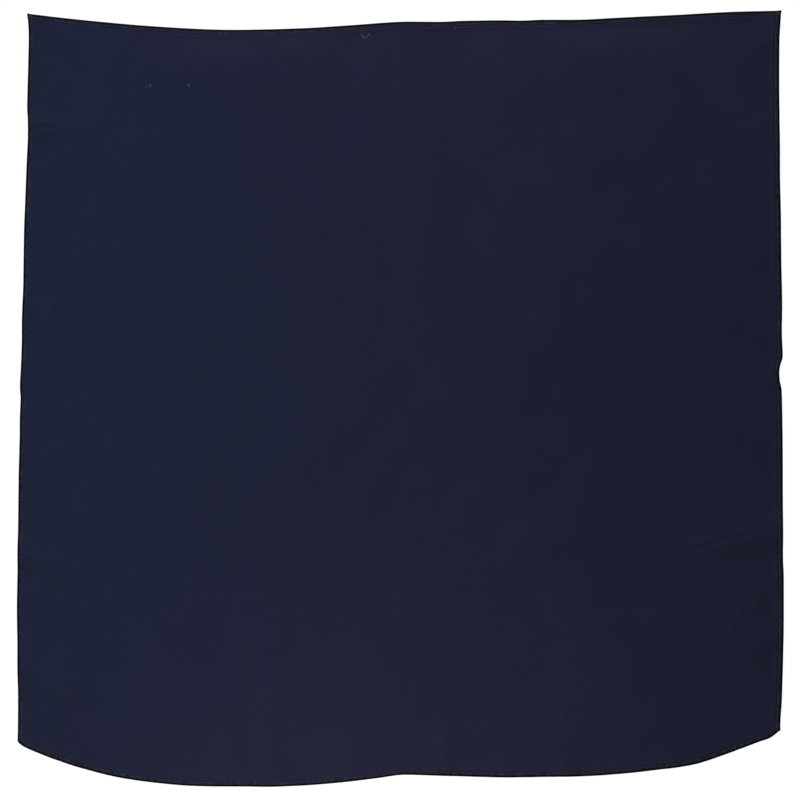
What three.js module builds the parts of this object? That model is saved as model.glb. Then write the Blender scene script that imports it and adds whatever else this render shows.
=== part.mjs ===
// A plain square bandana laid flat: one square of thin woven cotton, with a narrow overlocked
// edging along each of its four sides. It was hung by its top corners and the middle of its top
// edge before it was laid down, so its outline keeps two swags, pulled-in lower corners and
// soft folds. Millimetres, +Z up. The cloth lies on the plane z = 0, its top edge towards +Y.

import * as THREE from "three";

// Driving dimensions
const CUT = 560; // side of the square that was cut
const CLOTH_THICK = 1.0; // wall that stands for the woven cloth
const EDGING_WIDTH = 3.2; // how far the overlocking reaches in from the rim
const EDGING_THICK = 1.6;
const SEAM_GAP = 0.3; // between the cloth's wall and its edging, and at the corners
const CELLS = 48; // cells of the cloth's wall along each side, and steps of its edging
const CORNER_STEPS = 4; // steps of an edging between the rim's corner and the cloth's
const CORNER_ROUNDS = 12; // rounds of the search for a corner
const HALF = CUT / 2;
const CLOTH_INSET = EDGING_WIDTH + SEAM_GAP;

const NAVY = { color: 0x1f2337, roughness: 0.9, metalness: 0 };
const NAVY_THREAD = { color: 0x171a29, roughness: 0.75, metalness: 0 };

// The four sides of the outline. A row says how far outside the cut square (+) or inside it (-)
// the rim lies, at a place along the side: x for the top and bottom, y for the left and right.
const TOP = [
  { along: -275.5, out: 4.4 },
  { along: -252, out: 1.8 },
  { along: -222, out: -1.3 },
  { along: -192, out: -4.0 },
  { along: -148, out: -6.7 },
  { along: -118, out: -7.3 },
  { along: -74, out: -6.2 },
  { along: -37, out: -4.0 },
  { along: 0, out: -1.6 },
  { along: 22, out: -1.5 },
  { along: 34, out: -1.3 },
  { along: 44, out: -0.7 },
  { along: 74, out: -0.3 },
  { along: 90, out: -0.5 },
  { along: 104, out: 0.1 },
  { along: 135, out: 0.3 },
  { along: 163, out: 1.8 },
  { along: 207, out: 3.9 },
  { along: 236, out: 5.6 },
  { along: 251, out: 6.2 },
  { along: 282, out: 6.8 },
];
const BOTTOM = [
  { along: -284, out: -27.9 },
  { along: -281.5, out: -25.0 },
  { along: -278, out: -22.4 },
  { along: -266.5, out: -17.2 },
  { along: -256, out: -13.0 },
  { along: -237, out: -6.7 },
  { along: -207, out: 0.6 },
  { along: -178, out: 4.8 },
  { along: -148, out: 6.9 },
  { along: -118, out: 7.2 },
  { along: -89, out: 7.1 },
  { along: -66, out: 6.1 },
  { along: -44, out: 4.1 },
  { along: -15, out: 0.7 },
  { along: 0, out: -1.4 },
  { along: 15, out: -1.3 },
  { along: 74, out: 0.4 },
  { along: 118, out: -0.1 },
  { along: 141, out: -0.6 },
  { along: 164, out: -2.3 },
  { along: 192, out: -5.4 },
  { along: 206, out: -7.1 },
  { along: 222, out: -10.4 },
  { along: 251.5, out: -20.7 },
  { along: 265, out: -26.0 },
  { along: 273, out: -28.9 },
  { along: 277, out: -31.7 },
  { along: 282, out: -36.1 },
];
const LEFT = [
  { along: -258, out: 3.0 },
  { along: -238, out: 2.8 },
  { along: -194, out: 3.1 },
  { along: -156.5, out: 3.7 },
  { along: -128, out: 3.2 },
  { along: -105, out: 2.9 },
  { along: -57, out: 2.4 },
  { along: -45.5, out: 2.1 },
  { along: -30, out: 1.5 },
  { along: -16, out: 1.6 },
  { along: 0, out: 1.0 },
  { along: 9, out: 1.5 },
  { along: 24, out: 0.7 },
  { along: 41, out: 0.1 },
  { along: 55, out: 0.0 },
  { along: 77, out: -0.9 },
  { along: 117, out: -1.5 },
  { along: 176.5, out: -3.6 },
  { along: 195, out: -4.6 },
  { along: 206, out: -4.5 },
  { along: 214, out: -3.9 },
  { along: 226, out: -4.1 },
  { along: 250.5, out: -4.7 },
  { along: 270, out: -5.0 },
  { along: 285, out: -4.3 },
];
const RIGHT = [
  { along: -248, out: 1.6 },
  { along: -242, out: 0.9 },
  { along: -224, out: 2.2 },
  { along: -208, out: 2.8 },
  { along: -179, out: 3.5 },
  { along: -134, out: 3.8 },
  { along: -119, out: 3.3 },
  { along: -105, out: 3.2 },
  { along: -60, out: 3.1 },
  { along: -36, out: 3.0 },
  { along: 0, out: 2.4 },
  { along: 6, out: 2.1 },
  { along: 9.5, out: 1.5 },
  { along: 12, out: 0.8 },
  { along: 15, out: 0.5 },
  { along: 20, out: 0.4 },
  { along: 25, out: 1.3 },
  { along: 29, out: 2.7 },
  { along: 33, out: 3.0 },
  { along: 47, out: 2.4 },
  { along: 73, out: 2.6 },
  { along: 106, out: 1.8 },
  { along: 132, out: 1.7 },
  { along: 162, out: 1.0 },
  { along: 192, out: 0.9 },
  { along: 207, out: 0.5 },
  { along: 265, out: 0.5 },
  { along: 277, out: 1.1 },
  { along: 288, out: 1.8 },
];

// The folds, each a soft ridge from (x0, y0) to (x1, y1). bow moves the ridge's middle sideways,
// to the left of the way it runs. start, middle and end are its heights; left and
// right are how far it reaches to either side before the cloth lies flat again.
const FOLDS = [
  // From the middle of the top edge down, and the diagonals that carry it on to both sides below
  { x0: 1, y0: 292, x1: 22, y1: 50, bow: -6, start: 2.8, middle: 3.0, end: 0, left: 40, right: 60 },
  { x0: 4, y0: 46, x1: -112, y1: -86, bow: 3, start: 0, middle: 3.2, end: 0, left: 34, right: 48 },
  { x0: 30, y0: 12, x1: -78, y1: -122, bow: 0, start: 0, middle: 2.5, end: 0, left: 30, right: 26 },
  { x0: 177, y0: 128, x1: 74, y1: -1, bow: 0, start: 0, middle: 1.8, end: 0, left: 32, right: 45 },
  { x0: 177, y0: -31, x1: 52, y1: -149, bow: 0, start: 0, middle: 3.0, end: 0, left: 60, right: 26 },
  { x0: 74, y0: -119, x1: 229, y1: -242, bow: 0, start: 0, middle: 3.6, end: 1.2, left: 30, right: 60 },
  { x0: -137, y0: -16, x1: -174, y1: -119, bow: 0, start: 0, middle: 1.5, end: 0, left: 30, right: 50 },
  // The swags under the top edge
  { x0: -256, y0: 262, x1: -10, y1: 260, bow: -14, start: 0, middle: 4.6, end: 0, left: 26, right: 60 },
  { x0: -270, y0: 205, x1: -40, y1: 238, bow: -25, start: 0, middle: 1.0, end: 0, left: 40, right: 30 },
  { x0: 12, y0: 256, x1: 262, y1: 262, bow: -5, start: 0, middle: 4.2, end: 0, left: 26, right: 55 },
  { x0: 59, y0: 225, x1: 266, y1: 274, bow: 0, start: 0, middle: 1.2, end: 0, left: 24, right: 30 },
  { x0: 100, y0: 150, x1: 262, y1: 222, bow: 22, start: 0, middle: 1.5, end: 0, left: 36, right: 40 },
  // The pulls at the two top corners
  { x0: -284, y0: 292, x1: -216, y1: 236, bow: -3, start: 2.5, middle: 1.6, end: 0, left: 18, right: 15 },
  { x0: 290, y0: 294, x1: 226, y1: 234, bow: 4, start: 1.8, middle: 1.2, end: 0, left: 15, right: 18 },
  // The left side's puckers, from the top down
  { x0: -290, y0: 200, x1: -226, y1: 197, bow: 2, start: 3.4, middle: 2.2, end: 0, left: 15, right: 14 },
  { x0: -290, y0: 134, x1: -236, y1: 120, bow: 0, start: 2.0, middle: 1.2, end: 0, left: 16, right: 18 },
  { x0: -292, y0: 84, x1: -226, y1: 16, bow: 4, start: 3.0, middle: 2.4, end: 0, left: 14, right: 15 },
  { x0: -292, y0: -34, x1: -240, y1: -44, bow: -2, start: 2.4, middle: 1.4, end: 0, left: 16, right: 15 },
  { x0: -281, y0: -75, x1: -119, y1: -90, bow: -10, start: 0, middle: 1.4, end: 0, left: 40, right: 26 },
  { x0: -292, y0: -110, x1: -214, y1: -140, bow: 3, start: 3.6, middle: 2.7, end: 0, left: 15, right: 16 },
  { x0: -292, y0: -194, x1: -210, y1: -228, bow: -3, start: 3.4, middle: 2.4, end: 0, left: 16, right: 15 },
  // The right side's puckers, from the top down
  { x0: 292, y0: 214, x1: 246, y1: 190, bow: 2, start: 1.8, middle: 1.1, end: 0, left: 15, right: 16 },
  { x0: 292, y0: 110, x1: 250, y1: 116, bow: 0, start: 2.0, middle: 1.2, end: 0, left: 18, right: 16 },
  { x0: 292, y0: 18, x1: 236, y1: 12, bow: -2, start: 1.9, middle: 1.3, end: 0, left: 14, right: 14 },
  { x0: 292, y0: -92, x1: 198, y1: -122, bow: 4, start: 2.2, middle: 1.7, end: 0, left: 15, right: 16 },
  { x0: 292, y0: -158, x1: 236, y1: -196, bow: 3, start: 2.0, middle: 1.4, end: 0, left: 15, right: 15 },
  // The bottom edge's two long rises, then its flutes from left to right
  { x0: -262, y0: -236, x1: -20, y1: -254, bow: 0, start: 0, middle: 4.2, end: 0, left: 70, right: 34 },
  { x0: 30, y0: -250, x1: 244, y1: -234, bow: 0, start: 0, middle: 4.0, end: 0, left: 60, right: 32 },
  { x0: -212, y0: -296, x1: -200, y1: -226, bow: 2, start: 1.8, middle: 1.4, end: 0, left: 18, right: 17 },
  { x0: -158, y0: -300, x1: -164, y1: -246, bow: 0, start: 1.4, middle: 1.0, end: 0, left: 16, right: 17 },
  { x0: -100, y0: -302, x1: -102, y1: -130, bow: -2, start: 2.2, middle: 3.0, end: 0, left: 15, right: 22 },
  { x0: -34, y0: -298, x1: -42, y1: -232, bow: 0, start: 1.8, middle: 1.2, end: 0, left: 17, right: 18 },
  { x0: 24, y0: -294, x1: 32, y1: -218, bow: -2, start: 1.8, middle: 1.4, end: 0, left: 18, right: 16 },
  { x0: 76, y0: -294, x1: 70, y1: -250, bow: 0, start: 1.2, middle: 0.8, end: 0, left: 16, right: 17 },
  { x0: 132, y0: -296, x1: 104, y1: -196, bow: 3, start: 1.8, middle: 1.6, end: 0, left: 15, right: 15 },
  { x0: 182, y0: -292, x1: 170, y1: -236, bow: 0, start: 1.6, middle: 1.0, end: 0, left: 17, right: 15 },
  // The two lower corners, which curl up
  { x0: -296, y0: -268, x1: -232, y1: -208, bow: 0, start: 4.5, middle: 2.0, end: 0, left: 30, right: 32 },
  { x0: 298, y0: -262, x1: 236, y1: -206, bow: 0, start: 4.8, middle: 2.2, end: 0, left: 32, right: 30 },
];

// An edging's cross-section, from the rim inwards: rounded where the thread wraps the rim.
const EDGING_SECTION = [
  { across: 0.3, up: 0 },
  { across: EDGING_WIDTH / 2, up: 0 },
  { across: EDGING_WIDTH, up: 0 },
  { across: EDGING_WIDTH, up: EDGING_THICK - 0.4 },
  { across: EDGING_WIDTH - 0.7, up: EDGING_THICK - 0.1 },
  { across: 1.3, up: EDGING_THICK },
  { across: 0.4, up: EDGING_THICK - 0.25 },
  { across: 0, up: 0.7 },
];

const lerp = THREE.MathUtils.lerp;
const clamp = THREE.MathUtils.clamp;

// The rim's distance outside the cut square at a place along a side, and its slope there:
// a cubic through the table's rows.
function rim(side, at) {
  let i = side.findIndex((row) => row.along > at) - 1;
  if (i < 0) i = at < side[0].along ? 0 : side.length - 2;
  const row = (k) => side[clamp(k, 0, side.length - 1)];
  const slopeAt = (k) => (row(k + 1).out - row(k - 1).out) / (row(k + 1).along - row(k - 1).along);
  const length = row(i + 1).along - row(i).along;
  const t = clamp((at - row(i).along) / length, 0, 1);
  const [a, b] = [slopeAt(i) * length, slopeAt(i + 1) * length];
  const rise = row(i + 1).out - row(i).out;
  const out = row(i).out + t * (a + t * (3 * rise - 2 * a - b + t * (a + b - 2 * rise)));
  const slope = (a + t * (2 * (3 * rise - 2 * a - b) + 3 * t * (a + b - 2 * rise))) / length;
  return { out, slope };
}

// How far from the middle a side lies at a place along it, once it is set in from the rim.
function reach(side, at, inset) {
  const { out, slope } = rim(side, at);
  return HALF + out - inset * Math.hypot(1, slope);
}

const topY = (x, inset) => reach(TOP, x, inset);
const bottomY = (x, inset) => -reach(BOTTOM, x, inset);
const leftX = (y, inset) => -reach(LEFT, y, inset);
const rightX = (y, inset) => reach(RIGHT, y, inset);

// Where a side line x = sideX(y) crosses an end line y = endY(x), each with its own inset.
function corner(sideX, sideInset, endY, endInset) {
  let [x, y] = [sideX(0, sideInset), endY(0, endInset)];
  for (let i = 0; i < CORNER_ROUNDS; i += 1) {
    x = sideX(y, sideInset);
    y = endY(x, endInset);
  }
  return { x, y };
}

// A ridge's height at the share t of its length: start, middle and end joined by soft curves.
function ridgeHeight(fold, t) {
  const [from, to, share] =
    t < 0.5 ? [fold.start, fold.middle, 2 * t] : [fold.middle, fold.end, 2 * t - 1];
  return lerp(from, to, THREE.MathUtils.smoothstep(share, 0, 1));
}

// How much one fold lifts the cloth over the point (x, y).
function foldLift(fold, x, y) {
  const [dx, dy] = [fold.x1 - fold.x0, fold.y1 - fold.y0];
  const length = Math.hypot(dx, dy);
  const [px, py] = [x - fold.x0, y - fold.y0];
  const along = (px * dx + py * dy) / (length * length);
  const t = clamp(along, 0, 1);
  const left = (py * dx - px * dy) / length - fold.bow * 4 * t * (1 - t);
  const width = left > 0 ? fold.left : fold.right;
  const away = Math.hypot(left, (along - t) * length) / width;
  if (away >= 1) return 0;
  return ridgeHeight(fold, t) * (1 - away * away) ** 2;
}

// The height of the cloth's underside. Ridges that meet join at the higher one, softly.
function lift(x, y) {
  const sharpness = 3;
  const sum = FOLDS.reduce((total, fold) => total + foldLift(fold, x, y) ** sharpness, 0);
  return sum ** (1 / sharpness);
}

// The four corners of the outline once it is set in from the rim.
function corners(inset) {
  return {
    tl: corner(leftX, inset, topY, inset),
    tr: corner(rightX, inset, topY, inset),
    bl: corner(leftX, inset, bottomY, inset),
    br: corner(rightX, inset, bottomY, inset),
  };
}

const RIM_CORNERS = corners(0);
const CLOTH_CORNERS = corners(CLOTH_INSET);

// The plan of the cloth inside its edging: a grid stretched between the four sides.
function clothPlan(u, v) {
  const { tl, tr, bl, br } = CLOTH_CORNERS;
  const [lowX, highX] = [lerp(bl.x, br.x, u), lerp(tl.x, tr.x, u)];
  const [nearY, farY] = [lerp(bl.y, tl.y, v), lerp(br.y, tr.y, v)];
  const low = { x: lowX, y: bottomY(lowX, CLOTH_INSET) };
  const high = { x: highX, y: topY(highX, CLOTH_INSET) };
  const near = { x: leftX(nearY, CLOTH_INSET), y: nearY };
  const far = { x: rightX(farY, CLOTH_INSET), y: farY };
  const blend = (key) =>
    lerp(low[key], high[key], v) +
    lerp(near[key], far[key], u) -
    lerp(lerp(bl[key], br[key], u), lerp(tl[key], tr[key], u), v);
  return { x: blend("x"), y: blend("y") };
}

function geometryFrom(points, triangles) {
  const geometry = new THREE.BufferGeometry();
  geometry.setAttribute("position", new THREE.Float32BufferAttribute(points.flat(), 3));
  geometry.setIndex(triangles.flat());
  geometry.computeVertexNormals();
  return geometry;
}

// The cloth's wall: an underside, a face one thickness above it, and the rim between them.
function clothGeometry() {
  const rows = CELLS + 1;
  const layer = rows * rows;
  const points = [];
  for (const height of [0, CLOTH_THICK]) {
    for (let j = 0; j < rows; j += 1) {
      for (let i = 0; i < rows; i += 1) {
        const { x, y } = clothPlan(i / CELLS, j / CELLS);
        points.push([x, y, lift(x, y) + height]);
      }
    }
  }
  const under = (i, j) => j * rows + i;
  const over = (i, j) => layer + under(i, j);
  const triangles = [];
  for (let j = 0; j < CELLS; j += 1) {
    for (let i = 0; i < CELLS; i += 1) {
      triangles.push([over(i, j), over(i + 1, j), over(i + 1, j + 1)]);
      triangles.push([over(i, j), over(i + 1, j + 1), over(i, j + 1)]);
      triangles.push([under(i, j), under(i + 1, j + 1), under(i + 1, j)]);
      triangles.push([under(i, j), under(i, j + 1), under(i + 1, j + 1)]);
    }
  }
  // Round the rim anticlockwise, seen from above
  const walk = [];
  for (let k = 0; k < CELLS; k += 1) walk.push([k, 0]);
  for (let k = 0; k < CELLS; k += 1) walk.push([CELLS, k]);
  for (let k = CELLS; k > 0; k -= 1) walk.push([k, CELLS]);
  for (let k = CELLS; k > 0; k -= 1) walk.push([0, k]);
  walk.forEach((here, k) => {
    const next = walk[(k + 1) % walk.length];
    triangles.push([under(...here), under(...next), over(...next)]);
    triangles.push([under(...here), over(...next), over(...here)]);
  });
  return geometryFrom(points, triangles);
}

// A strip of the edging's cross-section, swept in steps along a side, with the rim to the right
// of the way it goes. place(step, across) gives the plan point that lies across in from the rim.
function edgingGeometry(steps, place) {
  const ring = EDGING_SECTION.length;
  const points = [];
  for (let k = 0; k <= steps; k += 1) {
    for (const { across, up } of EDGING_SECTION) {
      const { x, y } = place(k, across);
      points.push([x, y, lift(x, y) + up]);
    }
  }
  const triangles = [];
  for (let k = 0; k < steps; k += 1) {
    for (let i = 0; i < ring; i += 1) {
      const [here, next] = [k * ring + i, k * ring + ((i + 1) % ring)];
      triangles.push([here, next, next + ring], [here, next + ring, here + ring]);
    }
  }
  const last = steps * ring;
  const hub = ring - 1;
  for (let i = 0; i < hub - 1; i += 1) {
    triangles.push([hub, i + 1, i], [last + hub, last + i, last + i + 1]);
  }
  return geometryFrom(points, triangles);
}

// Equal steps from one number to another, without the last.
const stepsTo = (from, to, count) => Array.from({ length: count }, (_, k) => lerp(from, to, k / count));

// The top and bottom edgings run from rim to rim, in the cloth's own steps between its corners.
function crosswiseEdging(endY, from, to) {
  const [start, end] = [RIM_CORNERS[from].x, RIM_CORNERS[to].x];
  const [first, last] = [CLOTH_CORNERS[from].x, CLOTH_CORNERS[to].x];
  const all = [
    ...stepsTo(start, first, CORNER_STEPS),
    ...stepsTo(first, last, CELLS),
    ...stepsTo(last, end, CORNER_STEPS),
    end,
  ];
  return edgingGeometry(all.length - 1, (k, across) => ({ x: all[k], y: endY(all[k], across) }));
}

// The left and right edgings fit between the top and bottom ones.
function upEdging(sideX, fromY, toY) {
  return edgingGeometry(CELLS, (k, across) => {
    const start = corner(sideX, across, fromY, CLOTH_INSET);
    const end = corner(sideX, across, toY, CLOTH_INSET);
    const y = lerp(start.y, end.y, k / CELLS);
    return { x: sideX(y, across), y };
  });
}

function namedMesh(name, geometry, look) {
  const mesh = new THREE.Mesh(geometry, new THREE.MeshStandardMaterial(look));
  mesh.name = name;
  return mesh;
}

const bandana = new THREE.Group();
bandana.name = "bandana";
bandana.add(namedMesh("cloth", clothGeometry(), NAVY));
bandana.add(namedMesh("edging_top", crosswiseEdging(topY, "tr", "tl"), NAVY_THREAD));
bandana.add(namedMesh("edging_bottom", crosswiseEdging(bottomY, "bl", "br"), NAVY_THREAD));
bandana.add(namedMesh("edging_left", upEdging(leftX, topY, bottomY), NAVY_THREAD));
bandana.add(namedMesh("edging_right", upEdging(rightX, bottomY, topY), NAVY_THREAD));

export default bandana;
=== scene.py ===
# A plain navy bandana laid flat: its woven cotton, its four overlocked edges, and the camera and
# light it is seen in. Metres, +Z up, +Y towards the cloth's top edge; it lies on the plane z = 0.

import math
from collections import namedtuple

import bpy
import numpy as np
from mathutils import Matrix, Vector


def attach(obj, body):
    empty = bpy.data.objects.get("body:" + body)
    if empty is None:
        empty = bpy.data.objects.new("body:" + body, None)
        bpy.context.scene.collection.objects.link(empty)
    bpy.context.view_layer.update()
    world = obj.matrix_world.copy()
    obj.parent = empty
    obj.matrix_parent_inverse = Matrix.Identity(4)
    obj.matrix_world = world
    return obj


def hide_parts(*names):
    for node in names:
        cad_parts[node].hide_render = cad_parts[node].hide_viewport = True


# Sizes of the cloth and its edging
CUT = 0.560  # side of the square that was cut
HALF = CUT / 2
CLOTH_THICK = 0.00035
CLOTH_EDGE = 0.0005  # from the rim in to the cloth's cut edge, which the thread wraps
THREAD_RADIUS = 0.00024
NEEDLE_RADIUS = 0.00022
PURL_RADIUS = 0.00042  # of each of the two strands that twist round each other along the rim
PURL_TWIST = 0.00040  # from the middle of the purl to the middle of a strand
PURL_FLAT = 0.6  # how flat the twist is pressed
PURL_OUT = 0.00006  # how far the purl bulges past the rim
STITCH_PITCH = 0.0023
NEEDLE_INSET = 0.0030  # from the rim in to the line of needle stitches
HEM_LIFT = 0.00048  # how far the lower thread holds the cloth's edge off the floor
HEM_REACH = 0.006
BANK_HEIGHT = 0.00050  # of the cloth that puffs up just inside the stitching
BANK_INSET = 0.0052
BANK_WIDTH = 0.0013
CLEARANCE = 0.00006  # from the floor to the lowest cloth
MIDDLE_CELLS = 190  # cells of the cloth's mesh between its hems
CORNER_ROUNDS = 12  # tries that home in on a corner of the outline
LATTICE = 256  # knots of the noise along each way
NO_PITCH = 1.0  # the noise's pitch the way that it isn't to vary

# The photograph's scale: it shows the cloth square on, and one of its pixels is METRES_A_PIXEL.
PICTURE_SIDE = 800
METRES_A_PIXEL = 0.00074
CENTRE_COLUMN = 400.3  # pixel column of the cloth's middle
CENTRE_ROW = 398.4  # pixel row of the cloth's middle

# The four sides of the outline. A row says how far outside the cut square (+) or inside it (-)
# the rim lies, at a place along the side: x for the top and bottom, y for the left and right.
Rim = namedtuple("Rim", "along out")
TOP = [
    Rim(-0.2755, 0.0044),
    Rim(-0.2520, 0.0018),
    Rim(-0.2220, -0.0013),
    Rim(-0.1920, -0.0040),
    Rim(-0.1480, -0.0067),
    Rim(-0.1180, -0.0073),
    Rim(-0.0740, -0.0062),
    Rim(-0.0370, -0.0040),
    Rim(0.0000, -0.0016),
    Rim(0.0220, -0.0015),
    Rim(0.0340, -0.0013),
    Rim(0.0440, -0.0007),
    Rim(0.0740, -0.0003),
    Rim(0.0900, -0.0005),
    Rim(0.1040, 0.0001),
    Rim(0.1350, 0.0003),
    Rim(0.1630, 0.0018),
    Rim(0.2070, 0.0039),
    Rim(0.2360, 0.0056),
    Rim(0.2510, 0.0062),
    Rim(0.2820, 0.0068),
]
BOTTOM = [
    Rim(-0.2840, -0.0279),
    Rim(-0.2815, -0.0250),
    Rim(-0.2780, -0.0224),
    Rim(-0.2665, -0.0172),
    Rim(-0.2560, -0.0130),
    Rim(-0.2370, -0.0067),
    Rim(-0.2070, 0.0006),
    Rim(-0.1780, 0.0048),
    Rim(-0.1480, 0.0069),
    Rim(-0.1180, 0.0072),
    Rim(-0.0890, 0.0071),
    Rim(-0.0660, 0.0061),
    Rim(-0.0440, 0.0041),
    Rim(-0.0150, 0.0007),
    Rim(0.0000, -0.0014),
    Rim(0.0150, -0.0013),
    Rim(0.0740, 0.0004),
    Rim(0.1180, -0.0001),
    Rim(0.1410, -0.0006),
    Rim(0.1640, -0.0023),
    Rim(0.1920, -0.0054),
    Rim(0.2060, -0.0071),
    Rim(0.2220, -0.0104),
    Rim(0.2515, -0.0207),
    Rim(0.2650, -0.0260),
    Rim(0.2730, -0.0289),
    Rim(0.2770, -0.0317),
    Rim(0.2820, -0.0361),
]
LEFT = [
    Rim(-0.2580, 0.0030),
    Rim(-0.2380, 0.0028),
    Rim(-0.1940, 0.0031),
    Rim(-0.1565, 0.0037),
    Rim(-0.1280, 0.0032),
    Rim(-0.1050, 0.0029),
    Rim(-0.0570, 0.0024),
    Rim(-0.0455, 0.0021),
    Rim(-0.0300, 0.0015),
    Rim(-0.0160, 0.0016),
    Rim(0.0000, 0.0010),
    Rim(0.0090, 0.0015),
    Rim(0.0240, 0.0007),
    Rim(0.0410, 0.0001),
    Rim(0.0550, 0.0000),
    Rim(0.0770, -0.0009),
    Rim(0.1170, -0.0015),
    Rim(0.1765, -0.0036),
    Rim(0.1950, -0.0046),
    Rim(0.2060, -0.0045),
    Rim(0.2140, -0.0039),
    Rim(0.2260, -0.0041),
    Rim(0.2505, -0.0047),
    Rim(0.2700, -0.0050),
    Rim(0.2850, -0.0043),
]
RIGHT = [
    Rim(-0.2480, 0.0016),
    Rim(-0.2420, 0.0009),
    Rim(-0.2240, 0.0022),
    Rim(-0.2080, 0.0028),
    Rim(-0.1790, 0.0035),
    Rim(-0.1340, 0.0038),
    Rim(-0.1190, 0.0033),
    Rim(-0.1050, 0.0032),
    Rim(-0.0600, 0.0031),
    Rim(-0.0360, 0.0030),
    Rim(0.0000, 0.0024),
    Rim(0.0060, 0.0021),
    Rim(0.0095, 0.0015),
    Rim(0.0120, 0.0008),
    Rim(0.0150, 0.0005),
    Rim(0.0200, 0.0004),
    Rim(0.0250, 0.0013),
    Rim(0.0290, 0.0027),
    Rim(0.0330, 0.0030),
    Rim(0.0470, 0.0024),
    Rim(0.0730, 0.0026),
    Rim(0.1060, 0.0018),
    Rim(0.1320, 0.0017),
    Rim(0.1620, 0.0010),
    Rim(0.1920, 0.0009),
    Rim(0.2070, 0.0005),
    Rim(0.2650, 0.0005),
    Rim(0.2770, 0.0011),
    Rim(0.2880, 0.0018),
]

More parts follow.
